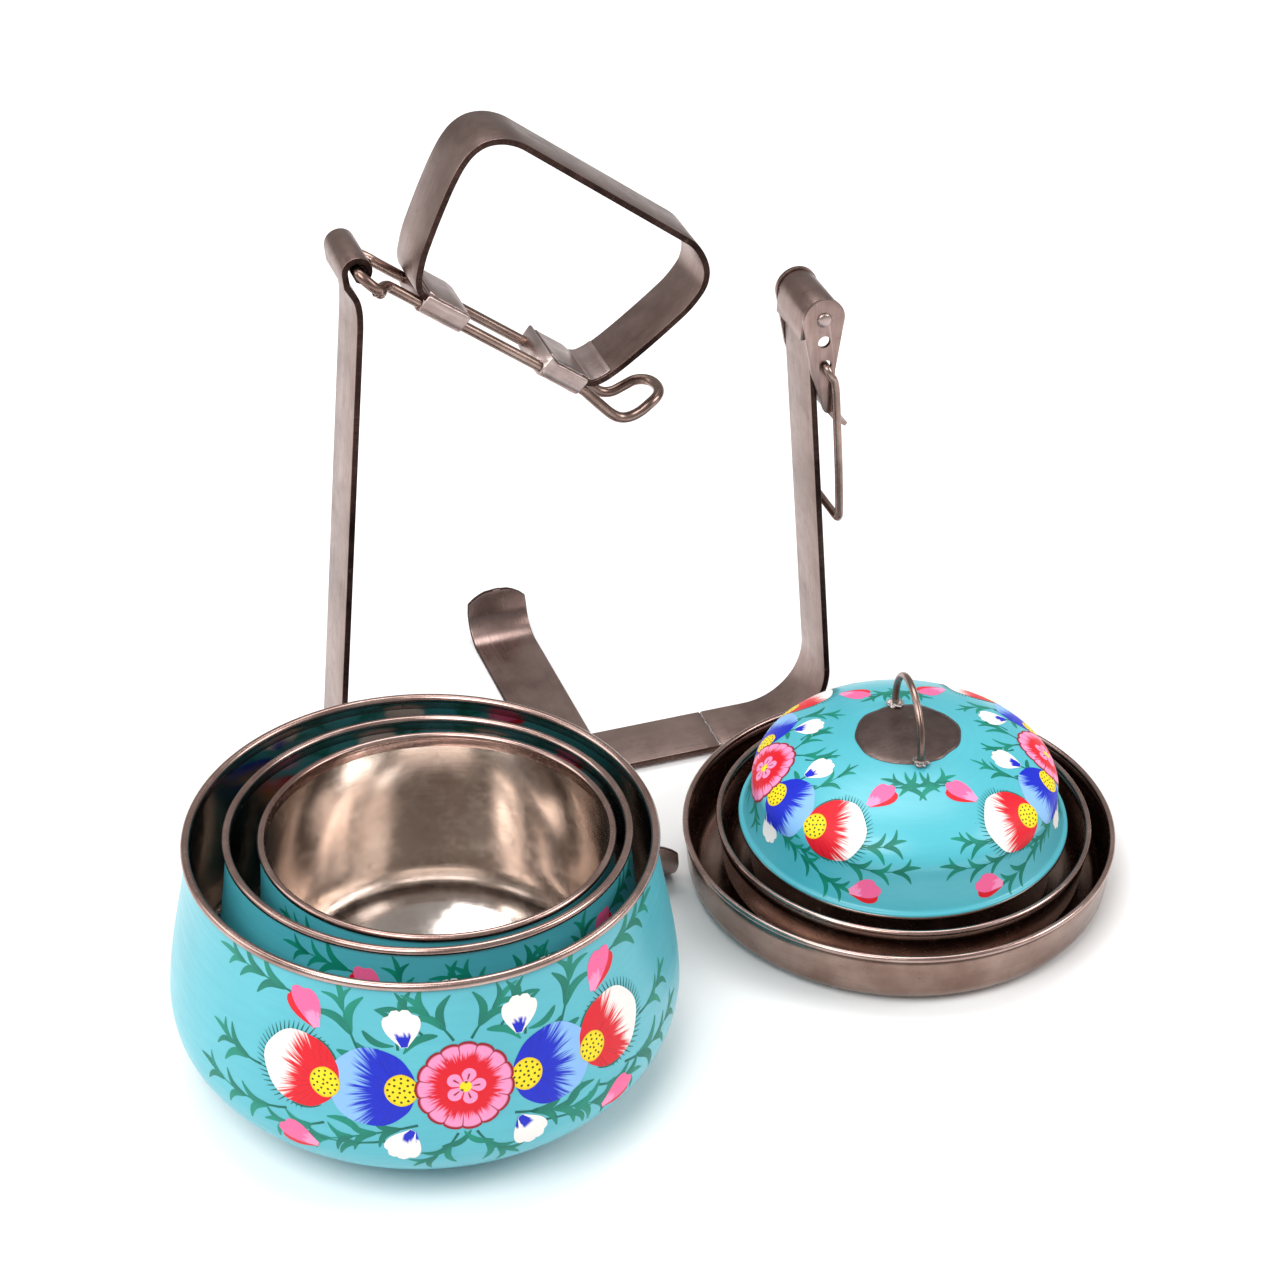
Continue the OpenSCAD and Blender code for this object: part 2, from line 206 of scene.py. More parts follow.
# ---- mesh tools (millimetres) --------------------------------------------
def solid(name, verts, faces, mats, body, stands_for=(), uvs=None, slots=None, colours=None):
    me = bpy.data.meshes.new(name)
    me.from_pydata([(x * MM, y * MM, z * MM) for x, y, z in verts], [], faces)
    for m in mats:
        me.materials.append(m)
    for i, f in enumerate(me.polygons):
        f.use_smooth = True
        if slots:
            f.material_index = slots[i]
    if uvs:
        layer = me.uv_layers.new(name="sheet")
        for loop, (u, v) in zip(layer.data, [q for f in uvs for q in f]):
            loop.uv = (u * MM, v * MM)
    if colours:
        paint = me.color_attributes.new("stroke", "FLOAT_COLOR", "POINT")
        for d, c in zip(paint.data, colours):
            d.color = (*c, 1)
    me.validate()
    ob = bpy.data.objects.new(name, me)
    bpy.context.scene.collection.objects.link(ob)
    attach(ob, body)
    if stands_for:
        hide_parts(*stands_for)
    return ob


def rounded(P, cut, n=6):
    """A polyline with its corners turned into curves that start cut before each corner."""
    P = [Vector(p) for p in P]
    out = [P[0]]
    for a, b, c in zip(P, P[1:], P[2:]):
        k = min(cut, (a - b).length * 0.48, (c - b).length * 0.48)
        s = b + (a - b).normalized() * k
        e = b + (c - b).normalized() * k
        out += [s * (1 - t) ** 2 + b * 2 * t * (1 - t) + e * t * t for t in [i / n for i in range(n + 1)]]
    return out + [P[-1]]


def arc(c, r, a0, a1, n):
    return [(c[0] + r * cos(a0 + (a1 - a0) * i / n), c[1] + r * sin(a0 + (a1 - a0) * i / n)) for i in range(n + 1)]


def lengths(P):
    s = [0.0]
    for a, b in zip(P, P[1:]):
        s.append(s[-1] + (Vector(b) - Vector(a)).length)
    return s


def lathe(P, marks, place, n=256):
    """Turns profile P (r, z) about the axis. marks gives the material of each step. Returns mesh lists."""
    verts, faces, uvs, slots = [], [], [], []
    s = lengths(P)
    rows = []
    for r, z in P:
        if r < 1e-6:
            rows.append([len(verts)] * n)
            verts.append(place @ Vector((0, 0, z)))
        else:
            rows.append(list(range(len(verts), len(verts) + n)))
            verts += [place @ Vector((r * cos(360 * i / n), r * sin(360 * i / n), z)) for i in range(n)]
    for k in range(len(P) - 1):
        a, b = rows[k], rows[k + 1]
        rr = max(P[k][0], P[k + 1][0])
        for i in range(n):
            j = (i + 1) % n
            quad = [a[i], a[j], b[j], b[i]]
            corners = ((i, s[k]), (i + 1, s[k]), (i + 1, s[k + 1]), (i, s[k + 1]))
            uv = [(t * 2 * math.pi * rr / n, q) for t, q in corners]
            keep = [q for q in range(4) if quad[q] not in quad[:q]]
            faces.append([quad[q] for q in keep])
            uvs.append([uv[q] for q in keep])
            slots.append(marks[k])
    return verts, faces, uvs, slots


def ring_section(r, z, br, place, n=256, k=18):
    """A closed round hem at radius r."""
    return lathe([(r + br * cos(360 * i / k), z + br * sin(360 * i / k)) for i in range(k + 1)], [0] * k, place, n)


def merge(*parts):
    verts, faces, uvs, slots = [], [], [], []
    for v, f, u, s in parts:
        base = len(verts)
        verts += v
        faces += [[i + base for i in q] for q in f]
        uvs += u
        slots += s
    return verts, faces, uvs, slots


def section(w, t, e):
    """A rectangle w by t with corners rounded to e, as (across, up) points."""
    out = []
    for cx, cy, a in (
        (w / 2 - e, t / 2 - e, 0),
        (-w / 2 + e, t / 2 - e, 90),
        (-w / 2 + e, -t / 2 + e, 180),
        (w / 2 - e, -t / 2 + e, 270),
    ):
        out += [(cx + e * cos(a + 30 * i), cy + e * sin(a + 30 * i)) for i in range(4)]
    return out


def strap(path, width, t, to3d, e=0.45, slot=0, rim=None):
    """Sweeps a strap with eased edges along a path in its own plane.

    width is a number or a function of the distance run; slot is the material of its
    faces and rim that of its sheared edges."""
    s = lengths(path)
    P = [Vector(p) for p in path]
    wide = width if callable(width) else (lambda d: width)
    verts, faces, uvs, slots = [], [], [], []
    n = len(section(5, t, e))
    rim = slot if rim is None else rim
    rows = [(0, -1), *[(i, 0) for i in range(len(P))], (len(P) - 1, 1)]
    for i, end in rows:
        a = (P[i] - P[i - 1]).normalized() if i else (P[1] - P[0]).normalized()
        b = (P[i + 1] - P[i]).normalized() if i < len(P) - 1 else a
        d = (a + b).normalized()
        up = Vector((-d[1], d[0])) / max(0.4, (a + b).length / 2)
        pull = 0.35 if not end and i in (0, len(P) - 1) else 0
        w = wide(s[i])
        shrink = 0.7 if end else 0
        at = P[i] + d * (pull if i == 0 else -pull)
        for x, y in section(max(w - shrink, 1.6), t - shrink, e if not end else e * 0.5):
            q = at + up * y
            verts.append(Vector(to3d(q[0], q[1], x)))
    m = len(rows)
    for k in range(m - 1):
        sa, sb = s[rows[k][0]], s[rows[k + 1][0]]
        for i in range(n):
            j = (i + 1) % n
            faces.append([k * n + i, k * n + j, (k + 1) * n + j, (k + 1) * n + i])
            wa, wb = section(wide(sa), t, e)[i][0], section(wide(sa), t, e)[j][0]
            uvs.append([(sa, wa), (sa, wb), (sb, wb), (sb, wa)])
            slots.append(rim if min(abs(wa), abs(wb)) > wide(sa) / 2 - e * 0.6 else slot)
    for k, flip in ((0, False), (m - 1, True)):
        f = [k * n + i for i in range(n)]
        faces.append(f if flip else f[::-1])
        uvs.append([(s[rows[k][0]], 0.5 * i) for i in range(n)])
        slots.append(rim)
    return verts, faces, uvs, slots


def curve_through(P, closed=False, k=8):
    P = [Vector(p) for p in P]
    n = len(P)
    out = []
    for i in range(n if closed else n - 1):
        q = [P[(i + j) % n] if closed else P[min(max(i + j, 0), n - 1)] for j in (-1, 0, 1, 2)]
        for m in range(k):
            t = m / k
            square = (2 * q[0] - 5 * q[1] + 4 * q[2] - q[3]) * t * t
            out.append(0.5 * (2 * q[1] + (q[2] - q[0]) * t + square
                              + (3 * q[1] - q[0] - 3 * q[2] + q[3]) * t ** 3))
    return out if closed else out + [P[-1]]


def tube(P, r, closed=False, n=18):
    """A round wire along points P; r is a number or a function of the fraction run."""
    P = [Vector(p) for p in P]
    size = r if callable(r) else (lambda f: r)
    m = len(P)
    side = None
    verts, faces, uvs = [], [], []
    s = lengths(P)
    for i in range(m):
        a = P[(i + 1) % m] if (closed or i < m - 1) else P[i]
        b = P[i - 1] if (closed or i) else P[i]
        d = (a - b).normalized()
        if side is None:
            side = d.orthogonal().normalized()
        side = (side - d * side.dot(d)).normalized()
        other = d.cross(side)
        for j in range(n):
            verts.append(P[i] + (side * cos(360 * j / n) + other * sin(360 * j / n)) * size(i / (m - 1)))
    for i in range(m if closed else m - 1):
        k = (i + 1) % m
        for j in range(n):
            q = (j + 1) % n
            faces.append([i * n + j, i * n + q, k * n + q, k * n + j])
            lo, hi = j * 0.5, j * 0.5 + 0.5
            uvs.append([(s[i], lo), (s[i], hi), (s[i] + 1, hi), (s[i] + 1, lo)])
    if not closed:
        for i, flip in ((0, True), (m - 1, False)):
            f = [i * n + j for j in range(n)]
            faces.append(f[::-1] if flip else f)
            uvs.append([(s[i], j * 0.5) for j in range(n)])
    return verts, faces, uvs, [0] * len(faces)


def lump(c, size, rough, slot, seed, n=20):
    """A rounded blob of metal, such as a weld."""
    verts, faces, uvs = [], [], []
    for i in range(n + 1):
        for j in range(2 * n):
            down, around = 180 * i / n, 180 * j / n
            v = Vector((sin(down) * cos(around), sin(down) * sin(around), cos(down)))
            k = 1 + rough * noise.noise(v * 1.7 + Vector((seed, 0, 0)))
            verts.append(Vector((c[0] + v[0] * size[0] * k, c[1] + v[1] * size[1] * k, c[2] + v[2] * size[2] * k)))
    for i in range(n):
        for j in range(2 * n):
            k = (j + 1) % (2 * n)
            faces.append([i * 2 * n + j, (i + 1) * 2 * n + j, (i + 1) * 2 * n + k, i * 2 * n + k])
            uvs.append([(j, i), (j, i + 1), (j + 1, i + 1), (j + 1, i)])
    return verts, faces, uvs, [slot] * len(faces)


def make(name, parts, mats, body, stands_for=()):
    v, f, u, s = merge(*parts)
    return solid(name, v, f, mats, body, stands_for, u, s)


# ---- carrier frame -------------------------------------------------------
BASE_Z = 3.2
BEND_R = 26.2
LEAN_L = 4.43
LEAN_R = 4.82
EYE = (-87.05, 244.6)
PIN = (92.3, 194.7)
C_L = (-75.35, BASE_Z + BEND_R)
C_R = (75.1, BASE_Z + BEND_R)


def up_l(z):
    x = C_L[0] - BEND_R * cos(LEAN_L)
    return (x + (z - C_L[1] - BEND_R * sin(LEAN_L)) * math.tan(math.radians(LEAN_L)), z)


def up_r(z):
    x = C_R[0] + BEND_R * cos(LEAN_R)
    return (x - (z - C_R[1] - BEND_R * sin(LEAN_R)) * math.tan(math.radians(LEAN_R)), z)


def upright(a, b, w):
    return (a, w, b)


def finely(P, step=6):
    out = [Vector(P[0])]
    for a, b in zip(P, P[1:]):
        a, b = Vector(a), Vector(b)
        n = max(1, int((b - a).length / step))
        out += [a + (b - a) * i / n for i in range(1, n + 1)]
    return out


long_path = [(55.7, BASE_Z), *arc(C_L, BEND_R, 270, 180 - LEAN_L, 24)]
long_path += rounded([
    up_l(40), up_l(222), (up_l(228)[0] - 0.4, 228), (up_l(233)[0] - 1.6, 233),
    (EYE[0] - 3.9, EYE[1] - 5.6)], 3)
long_path += arc(EYE, 4.5, 192, -62, 40)[1:]
long_path += [(EYE[0] + 3.4, EYE[1] - 4.6), (EYE[0] + 4.5, EYE[1] - 5.4)]
make("frame_long_look", [strap(finely(long_path), STRAP_W, STRAP_T, upright, rim=1)],
     [strap_steel, edge_shade_steel], "carrier", ["frame_long"])

short_path = finely([(56.3, BASE_Z), *arc(C_R, BEND_R, -90, LEAN_R, 24), *[up_r(z) for z in (60, 120, 186, 191)]])
barrel = finely([(PIN[0] - 7.3, PIN[1] - 8.6), (PIN[0] - 7.1, PIN[1] - 4), *arc(PIN, 6.7, 178, -140, 48)], 3)
short_parts = [strap(short_path, STRAP_W, STRAP_T, upright, rim=1), strap(barrel, STRAP_W, STRAP_T, upright)]
make("frame_short_look", short_parts, [strap_steel, edge_shade_steel], "carrier", ["frame_short"])

seam_ys = [-11.8 + i * 0.8 for i in range(30)]
seam = [(56 + 0.25 * noise.noise(Vector((y * 0.3, 0, 0))), y, BASE_Z + 0.9) for y in seam_ys]
make("seam_look", [tube(seam, lambda f: 0.55 + 0.15 * noise.noise(Vector((f * 30, 0, 0))), n=10)],
     [weld_steel], "carrier", ["frame_weld"])


def tab(a, b, w):
    return (w - 3, a, b)


def arched(d, total):
    """Width of the cross strap: full, and rounded off over the last few millimetres at each end."""
    near = min(d, total - d)
    z = 21.3 - near
    return 26 if z < 15.6 else 2 * math.sqrt(max(0.6, 17.4 ** 2 - (z - 4) ** 2))


cross = finely([
    (-87, 21.3), (-87, 20.6), (-87, 19.6), (-87, 18), (-87, 16),
    *arc((-74, 14), 13, 191, 270, 20), *arc((88.5, 14), 13, -90, -11, 20),
    (101.9, 16), (102, 18), (102.05, 19.6), (102.08, 20.6), (102.1, 21.3)])
run = lengths(cross)[-1]
make("cross_strap_look", [strap(cross, lambda d: arched(d, run), 2, tab, rim=1)],
     [strap_steel, edge_shade_steel], "carrier", ["cross_strap"])
fillets = [lump((-3 + u * 7, s * 13.3, 2.5), (2.8, 1.2, 0.5), 0.5, 0, u + 2 * s) for u in (-1, 1) for s in (-1, 1)]
make("cross_weld_look", fillets, [weld_steel], "carrier", ["cross_weld"])


# ---- latch ---------------------------------------------------------------
def softened(name, source, body, material, amount=0.35):
    """The CAD sub-part itself with its edges eased."""
    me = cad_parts[source].data.copy()
    me.name = name
    ob = bpy.data.objects.new(name, me)
    bpy.context.scene.collection.objects.link(ob)
    me.materials.clear()
    me.materials.append(material)
    for layer in list(me.uv_layers):
        me.uv_layers.remove(layer)
    layer = me.uv_layers.new(name="sheet")
    for loop in me.loops:
        c = me.vertices[loop.vertex_index].co
        layer.data[loop.index].uv = (c.z, c.x + c.y)
    for f in me.polygons:
        f.use_smooth = True
    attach(ob, body)
    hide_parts(source)
    weld = ob.modifiers.new("weld", "WELD")
    weld.merge_threshold = 0.00001
    flat = ob.modifiers.new("flat", "DECIMATE")
    flat.decimate_type = "DISSOLVE"
    flat.angle_limit = math.radians(1)
    edge = ob.modifiers.new("edge", "BEVEL")
    edge.width = amount * MM
    edge.segments = 3
    edge.limit_method = "ANGLE"
    edge.angle_limit = math.radians(40)
    edge.harden_normals = True
    return ob


softened("latch_lever_look", "latch_lever", "lever", strap_steel)
pin_parts = []
for s in (-1, 1):
    prof = [(0, 1.15), (1.4, 1.1), (2.4, 0.8), (2.95, 0.2), (2.9, -0.6), (0, -0.6)]
    turn = Matrix.Translation(Vector((PIN[0], s * 14.6, PIN[1]))) @ Matrix.Rotation(math.radians(-90 * s), 4, "X")
    pin_parts.append(lathe(prof, [0] * 5, turn, 40))
pin_parts.append(tube([(PIN[0], y, PIN[1]) for y in (-14.5, 0, 14.5)], 2.45, n=40))
make("latch_pin_look", pin_parts, [clip_steel], "lever", ["latch_pin"])

HOLE = (93.6, 174.6)
half = [
    (HOLE[0], 11.4, HOLE[1]), (HOLE[0], 14, HOLE[1]), (HOLE[0] + 0.2, 16.2, HOLE[1] - 0.6),
    (HOLE[0] + 1.2, 17.2, HOLE[1] - 3), (96.9, 17.2, 166.5), (98.5, 17.2, 148), (100.0, 17.2, 128),
    (101, 17.1, 111), (101.3, 16.2, 107), (101.4, 14, 105.5), (101.4, 8, 105.4)]
other = [(x, -y, z) for x, y, z in half[::-1]]
make("bail_look", [tube(curve_through(half + other), 1.6)], [wire_steel], "bail_loop", ["bail"])

# ---- closing wire and handle, s out from the eye and n up -----------------
DROOP = 37.4
WY = 10.1
WN = 0.3
WIRE_R = 2.05
FOOT = WN + WIRE_R + 1.25


def swung(s, n, y):
    return (EYE[0] + s * cos(DROOP) + n * sin(DROOP), y, EYE[1] - s * sin(DROOP) + n * cos(DROOP))


half = [
    # through the eye and round its end
    (0, 0, 0), (0, 8, 0), (0.3, 12.2, 0), (2, 14.5, -0.2), (4.8, 15.7, -0.6), (7.6, 15.8, -1), (9.8, 14.8, -1),
    (11.4, 12.8, -0.4), (13.4, 10.9, 0.2), (16.4, WY, WN),
    # the straight run under the handle
    (30, WY, WN), (60, WY, WN), (90, WY, WN), (105, WY, WN),
    # the dip, the rise and the tip of the hook
    (111, WY, -0.6), (117, WY, -1.8), (123, WY, -2.8), (127.4, WY, -2.6), (130.8, WY, -0.5), (133.2, WY, 3.2),
    (135, WY - 0.8, 7.2), (136.8, WY - 2.5, 9.8), (138.3, WY - 5.2, 11.5), (139, WY - 8.3, 12.2)]
loop = half + [(s, -y, n) for s, y, n in half[::-1][:-1]]
loop = [Vector(swung(s, n, y)) for s, y, n in loop]
closing = [tube(curve_through(loop, closed=True), WIRE_R, closed=True)]
for t in (-1, 1):
    closing.append(lump(swung(10.4, -1.7, t * 14.4), (2.5, 2.6, 2.6), 0.25, 0, t))
make("closing_wire_look", closing, [wire_steel], "swing", ["closing_wire"])

handle = [
    (45, FOOT), (28.6, FOOT), (25.2, FOOT + 1), (22.4, 7.6), (18.4, 16), (14.6, 29.6), (11.4, 43), (10.1, 51.5),
    (10.3, 57.8), (12.7, 63.2), (17.6, 67.1), (24, 69.1), (108, 69.1), (114.4, 66.5), (119.3, 62.8),
    (122.2, 57.2), (122.3, 48), (119.7, 37), (116.6, 25.4), (113.4, 15), (110.8, 8.6), (108, FOOT + 1),
    (104.8, FOOT), (88, FOOT)]
weld_patch = [(104.7, 5.2), (107.1, 6.1), (109.3, 9.3), (110.6, 12.4)]
make("handle_look", [strap(finely(rounded(handle, 5), 4), lambda d: 24.9, STRAP_T, swung, rim=2),
                     strap(finely(rounded(weld_patch, 1.5), 2), lambda d: 23.6, 0.5, swung, 0.2, 1)],
     [strap_steel, clip_steel, edge_shade_steel], "swing", ["handle_strap"])


def clip(name, s0, s1, node_name, lip):
    """A sheet folded round both wires and over the foot, with a chamfered flap on top and a flared end."""
    out = WIRE_R + 0.92
    top = 5.1
    right = [(WY + out * cos(a), out * sin(a)) for a in range(-80, 1, 16)]
    right += [(13.3, 2.3), (13.4, 4.2), (13.1, 4.8), (12.4, top)]
    side = [(-y, h) for y, h in right[::-1]] + right
    n = len(side)
    steps = 16
    rows = [(s0, 0.96), *[(s0 + 0.3 + (s1 - s0 - 0.6) * k / steps, 1) for k in range(steps + 1)], (s1, 0.96)]
    verts, faces, uvs = [], [], []
    for s, k in rows:
        rise = lip * max(0, 1 - (s - s0) / 3.5)
        for y, h in side:
            dent = 0.14 * noise.noise(Vector((s * 0.25, y * 0.2, h)))
            verts.append(Vector(swung(s, WN + h * k + dent + (rise if h > 4 else 0), y * (0.99 + 0.01 * k))))
    for i in range(len(rows) - 1):
        for j in range(n):
            q = (j + 1) % n
            faces.append([i * n + j, i * n + q, (i + 1) * n + q, (i + 1) * n + j])
            uvs.append([(rows[i][0], j), (rows[i][0], j + 1), (rows[i + 1][0], j + 1), (rows[i + 1][0], j)])
    for i, flip in ((0, False), (len(rows) - 1, True)):
        f = [i * n + j for j in range(n)]
        faces.append(f if flip else f[::-1])
        uvs.append([(j, 0) for j in range(n)])
    parts = [(verts, faces, uvs, [0] * len(faces))]
    over = WN + top + 0.2
    flap = [(s0 + 0.8, over + lip * 0.8), (s0 + 4, over), (s1 - 3, over), (s1 - 0.4, WN + top + 0.1)]
    parts.append(strap(finely(flap, 2), lambda d: min(24.6, 16 + 3.4 * min(d + 1, s1 - s0 - d)), 0.7, swung, 0.3))
    if lip:
        bead = finely([(s0 + 2.5, WN + top + 0.5), (s1 - 0.8, WN + top + 0.45)], 1)
        parts.append(strap(bead, lambda d: 3.2 + 1.8 * abs(sin(d * 27)), 0.35,
                           lambda a, b, w: swung(a, b, w - 10.3), 0.15, 1))
    return make(name, parts, [clip_steel, weld_steel], "swing", [node_name])


clip("clip_left_look", 29, 48, "clip_left", 0)
clip("clip_right_look", 85.8, 104.5, "clip_right", 1.3)


# ---- bowls ---------------------------------------------------------------
def wall_r(z, b):
    if z < b["zb"]:
        return b["base"] + (b["belly"] - b["base"]) * (1 - (1 - z / b["zb"]) ** 2.5)
    u = (z - b["zb"]) / (b["h"] - b["zb"])
    return b["rim"] + (b["belly"] - b["rim"]) * (0.3 * (1 + math.cos(math.pi * u)) + 0.4 * (1 - u))


def bowl_spec(rim, belly, base, h, zb, br):
    """Mid-sheet sizes from the sizes over the rim and belly."""
    return {"rim": rim - br, "belly": belly - 0.6, "base": base, "h": h - br, "zb": zb, "br": br}


def turned_z(angle):
    return Matrix.Rotation(math.radians(angle), 4, "Z")


def placed(x, y, z, tilt=0):
    """Where a loose piece stands, leaning back by tilt degrees."""
    return Matrix.Translation(Vector((x, y, z))) @ turned_z(-VIEW_TURN) @ Matrix.Rotation(math.radians(-tilt), 4, "X")


def bowl(size, b, place):
    """Steel inside, enamel outside, and a rolled hem left bare."""
    base, h = b["base"], b["h"]
    floor = rounded([
        (0, 1.15), (base - 14.4, 1.15), (base - 12.4, 2.5), (base - 5.2, 2.5), (base - 3.4, 1.3),
        (base - 0.3, 1.3)], 1.1, 5)
    zs = [b["zb"] * (i / 24) ** 1.5 for i in range(1, 25)] + [b["zb"] + (h - b["zb"]) * i / 30 for i in range(1, 31)]
    inside = [Vector((wall_r(z, b) - 0.6 + 0.3 * max(0, 1 - z / 2), max(z, 1.3) if z < 2 else z)) for z in zs]
    inside = [p for p in inside if p[1] > 1.8]
    outside = [Vector((wall_r(z, b) + 0.25, z + 0.15)) for z in zs[::-1] if z < h - 0.4]
    foot = [(base - 0.6, 0.1), (base - 4, 0.1), (base - 5.4, 1.1), (base - 12.2, 1.1), (base - 14, 0.1), (0, 0.1)]
    under = [Vector(q) for q in foot]
    P = floor + inside + outside + under
    turn = len(floor) + len(inside) - 1
    marks = [1] * turn + [0] * (len(P) - 1 - turn)
    v, f, u, s = lathe(P, marks, place)
    solid(f"bowl_{size}_look", v, f, [turquoise, bowl_steel], f"{size}_bowl", [f"bowl_{size}"], u, s)
    hem = ring_section(b["rim"], h, b["br"] * 0.99, place)
    lip = lathe([(b["rim"] - 0.7, h - 4.2), (b["rim"] - 0.95, h - 3.6), (b["rim"] - 1.0, h - 1)], [0, 0], place)
    make(f"rim_{size}_look", [hem, lip], [rim_steel], f"{size}_bowl", [f"rim_{size}"])
    return [(wall_r(z, b) + 0.25, z + 0.15) for z in [h * i / 160 for i in range(161)]]


LARGE = bowl_spec(83, 90.8, 61, 94.3, 33, 1.6)
MEDIUM = bowl_spec(71.3, 75.6, 52, 90.3, 33, 1.5)
SMALL = bowl_spec(62.2, 63.8, 43, 86.8, 32, 1.4)
AT_LARGE = placed(-105.8, -139.8, 0)
AT_MEDIUM = placed(-104.4, -143.3, 5.3, 2.5)
AT_SMALL = placed(-101.9, -146, 8.7, 2.6)
skin_large = bowl("large", LARGE, AT_LARGE)
skin_medium = bowl("medium", MEDIUM, AT_MEDIUM)
skin_small = bowl("small", SMALL, AT_SMALL)


# ---- lids ----------------------------------------------------------------
def plate(size, rim, floor_r, corner, h, br, place):
    turned = [
        (floor_r, 0.6), (floor_r + 0.45 * corner, 1), (floor_r + 0.74 * corner, 2),
        (floor_r + 0.91 * corner, 3.9), (floor_r + corner, 6.4), (rim - br, h - br)]
    mid = [
        (0, 0.6), (floor_r * 0.55, 0.6), (floor_r * 0.57, 0.75), (floor_r * 0.8, 0.75), (floor_r * 0.82, 0.6),
        *rounded(turned, 3, 5)]
    mid = finely(mid, 4)
    P = [Vector(p) for p in mid]
    inner, outer = [], []
    for i, p in enumerate(P):
        a = (P[i] - P[i - 1]).normalized() if i else (P[1] - P[0]).normalized()
        c = (P[i + 1] - P[i]).normalized() if i < len(P) - 1 else a
        d = (a + c).normalized()
        n = Vector((-d[1], d[0]))
        inner.append(p + n * SHEET_HALF)
        outer.append(p - n * SHEET_HALF)
    inner[0][0] = outer[0][0] = 0
    prof = inner + outer[::-1]
    v, f, u, s = lathe(prof, [0] * (len(prof) - 1), place)
    solid(f"plate_{size}_look", v, f, [plate_steel], f"{size}_lid", [f"plate_{size}"], u, s)
    hem = ring_section(rim - br, h - br, br * 0.99, place)
    make(f"plate_rim_{size}_look", [hem], [rim_steel], f"{size}_lid", [f"plate_rim_{size}"])


plate("large", 82.5, 66, 13.8, 24, 1.2, placed(92.8, -104.9, 0))
plate("medium", 71.6, 57.6, 10.8, 24, 1.15, placed(95.3, -103.6, 1.6))
AT_DOME = placed(95.2, -103.2, 3.2)

LID_S = 63
SKIRT = 21.5
CROWN = 60.5
SHOULDER_R = 57.6
SHOULDER_Z = SKIRT + 17.1


def crown_z(r):
    return SHOULDER_Z + (CROWN - SHOULDER_Z) * math.sqrt(max(0, 1 - (r / SHOULDER_R) ** 2))


wall = [(SHOULDER_R + 0.0138 * d * d, SHOULDER_Z - d) for d in (15.3, 12.5, 10, 7.5, 5, 2.5)]
shell = wall + [(SHOULDER_R * cos(a), crown_z(SHOULDER_R * cos(a))) for a in [1.5 * i for i in range(60)]]
outline = rounded([(LID_S - 0.6, SKIRT + 0.5), (LID_S - 0.8, SKIRT + 1.2), *shell], 1.2, 3)
skin_dome = [(r + 0.3 * (r / SHOULDER_R), z + 0.25) for r, z in outline] + [(0, CROWN + 0.3)]
inside = [(0, CROWN - 0.6)] + [(r - 0.6 * r / SHOULDER_R, z - 0.6) for r, z in shell[::-1]] + [(LID_S - 2, SKIRT + 0.6)]
P = skin_dome + inside
v, f, u, s = lathe(P, [0] * (len(skin_dome) - 1) + [1] * len(inside), AT_DOME)
solid("dome_look", v, f, [turquoise, bowl_steel], "dome_lid", ["dome"], u, s)
skirt = lathe([
    (56.5, 0.3), (57.3, 0.3), (57.35, SKIRT - 1.4), (59, SKIRT - 0.6), (LID_S - 1, SKIRT - 0.6),
    (LID_S - 1, SKIRT + 0.1), (58.6, SKIRT + 0.1), (56.5, SKIRT - 1), (56.5, 0.3)], [0] * 8, AT_DOME)
make("dome_brim_look", [ring_section(LID_S - 0.95, SKIRT, 0.9, AT_DOME), skirt],
     [plate_steel], "dome_lid", ["dome_brim"])

# the bare patch on the crown, with an uneven painted-up edge
N = 96
verts, faces, uvs = [AT_DOME @ Vector((0, 0, crown_z(0) + 0.75))], [], []
for k in range(1, 15):
    for i in range(N):
        a = 360 * i / N
        ragged = 1.1 * noise.noise(Vector((cos(a) * 2.2, sin(a) * 2.2, 3)))
        edge = 19.6 + 0.7 * math.sin(math.radians(2 * a + 40)) + ragged
        r = edge * min(1, k / 13)
        z = crown_z(r) + (0.75 if k < 13 else 0.55 if k == 13 else 0.2)
        verts.append(AT_DOME @ Vector((r * cos(a), r * sin(a), z)))
for i in range(N):
    j = (i + 1) % N
    faces.append([0, 1 + i, 1 + j])
    for k in range(13):
        faces.append([1 + k * N + i, 1 + (k + 1) * N + i, 1 + (k + 1) * N + j, 1 + k * N + j])
for q in faces:
    uvs.append([(verts[i][0], verts[i][1]) for i in q])
solid("boss_look", verts, faces, [bare_steel], "dome_lid", ["dome_boss"], uvs, [0] * len(faces))

ring_turn = AT_DOME @ turned_z(-99.2 + VIEW_TURN)
top = crown_z(19.2) + 0.6
bow = [(19.3 * cos(a), 0, top + 3.4 + 19.3 * sin(a)) for a in range(-4, 185, 8)]
ring = [(18.4, 0, top + 0.6), *bow, (-18.4, 0, top + 0.6)]
ring = [ring_turn @ Vector(p) for p in ring]
ring_parts = [tube(curve_through(ring, k=4), 1.4)]
for t in (-1, 1):
    ring_parts.append(lump(ring_turn @ Vector((t * 19.2, 0, top + 0.9)), (2.9, 2.9, 1.3), 0.5, 1, t))
make("ring_look", ring_parts, [wire_steel, weld_steel], "dome_lid", ["ring_handle"])

# ---- painted flowers -----------------------------------------------------
RED = rgb(222, 8, 34)
DARK_RED = rgb(150, 0, 24)
PINK = rgb(248, 104, 158)
PALE_PINK = rgb(252, 150, 196)
WHITE = rgb(248, 242, 238)
BLUE = rgb(6, 34, 196)
PALE_BLUE = rgb(138, 188, 240)
YELLOW = rgb(250, 222, 20)
GOLD = rgb(214, 168, 0)
OLIVE = rgb(70, 66, 10)
GREEN = rgb(0, 96, 84)
ROSETTE_R = 17
LEAF = rgb(8, 146, 122)
LEAF_WIDTH = 0.21  # of its length


